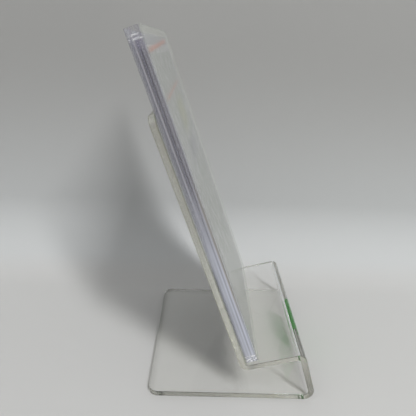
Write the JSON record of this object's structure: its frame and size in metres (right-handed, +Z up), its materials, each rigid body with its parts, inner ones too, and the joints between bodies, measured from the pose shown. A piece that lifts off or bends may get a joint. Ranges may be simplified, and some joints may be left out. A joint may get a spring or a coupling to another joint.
{
  "type": "photo album stand",
  "caption": "Clear acrylic stand bent from one sheet, with a sloping ledge and back rest that hold a slim upright pocket photo album with a hinged cover and leaves.",
  "frame": {"origin": "middle of the footprint of stand and album, on the surface the stand rests on", "axes": "+Z up, +X towards the side the album faces, +Y across the stand towards the album's fore edge"},
  "size_m": [0.0886, 0.092, 0.171],
  "materials": {
    "acrylic": "clear cast acrylic with polished faces and flame-polished edges",
    "label": "plain green vinyl label, satin",
    "cover": "translucent polypropylene sheet with soft gloss, faint printed bands on the front",
    "film": "thin clear film with a lilac tint",
    "seam": "heat-welded film seam, slightly frosted",
    "paper": "white photo card, semi-matt"
  },
  "bodies": {
    "stand": {"stand_sheet": "acrylic", "riser_label": "label"},
    "album": {"album_back_cover": "cover", "album_spine": "cover"},
    "front_cover": {"album_front_cover": "cover"},
    "leaf_1": {"leaf_1_back_film": "film", "leaf_1_hinge_seam": "seam", "leaf_1_fore_seam": "seam", "leaf_1_bottom_seam": "seam", "leaf_1_front_film": "film"},
    "print_1": {"leaf_1_print": "paper"},
    "leaf_2": {"leaf_2_back_film": "film", "leaf_2_hinge_seam": "seam", "leaf_2_fore_seam": "seam", "leaf_2_bottom_seam": "seam", "leaf_2_front_film": "film"},
    "print_2": {"leaf_2_print": "paper"},
    "leaf_3": {"leaf_3_back_film": "film", "leaf_3_hinge_seam": "seam", "leaf_3_fore_seam": "seam", "leaf_3_bottom_seam": "seam", "leaf_3_front_film": "film"},
    "print_3": {"leaf_3_print": "paper"},
    "leaf_4": {"leaf_4_back_film": "film", "leaf_4_hinge_seam": "seam", "leaf_4_fore_seam": "seam", "leaf_4_bottom_seam": "seam", "leaf_4_front_film": "film"},
    "print_4": {"leaf_4_print": "paper"}
  },
  "joints": [
    {"name": "album_lift", "type": "slide", "parent": "stand", "child": "album", "axis": [-0.342, 0, 0.9397], "range_m": [0, 0.165]},
    {"name": "cover_hinge", "type": "hinge", "parent": "album", "child": "front_cover", "pos_m": [0.01481, -0.0455, 0.02428], "axis": [0.342, 0, -0.9397], "range_deg": [0, 165]},
    {"name": "leaf_1_hinge", "type": "hinge", "parent": "album", "child": "leaf_1", "pos_m": [0.01032, -0.0448, 0.02265], "axis": [0.342, 0, -0.9397], "range_deg": [0, 33.5]},
    {"name": "leaf_2_hinge", "type": "hinge", "parent": "album", "child": "leaf_2", "pos_m": [0.01149, -0.0448, 0.02307], "axis": [0.342, 0, -0.9397], "range_deg": [0, 50]},
    {"name": "leaf_3_hinge", "type": "hinge", "parent": "album", "child": "leaf_3", "pos_m": [0.01267, -0.0448, 0.0235], "axis": [0.342, 0, -0.9397], "range_deg": [0, 66.5]},
    {"name": "leaf_4_hinge", "type": "hinge", "parent": "album", "child": "leaf_4", "pos_m": [0.01384, -0.0448, 0.02393], "axis": [0.342, 0, -0.9397], "range_deg": [0, 83]},
    {"name": "print_1_slide", "type": "slide", "parent": "leaf_1", "child": "print_1", "axis": [-0.342, 0, 0.9397], "range_m": [0, 0.153]},
    {"name": "print_2_slide", "type": "slide", "parent": "leaf_2", "child": "print_2", "axis": [-0.342, 0, 0.9397], "range_m": [0, 0.153]},
    {"name": "print_3_slide", "type": "slide", "parent": "leaf_3", "child": "print_3", "axis": [-0.342, 0, 0.9397], "range_m": [0, 0.153]},
    {"name": "print_4_slide", "type": "slide", "parent": "leaf_4", "child": "print_4", "axis": [-0.342, 0, 0.9397], "range_m": [0, 0.153]}
  ],
  "couplings": [
    {"joint": "leaf_1_hinge", "follows": "cover_hinge", "ratio": 0.2},
    {"joint": "leaf_2_hinge", "follows": "cover_hinge", "ratio": 0.3},
    {"joint": "leaf_3_hinge", "follows": "cover_hinge", "ratio": 0.4},
    {"joint": "leaf_4_hinge", "follows": "cover_hinge", "ratio": 0.5}
  ]
}
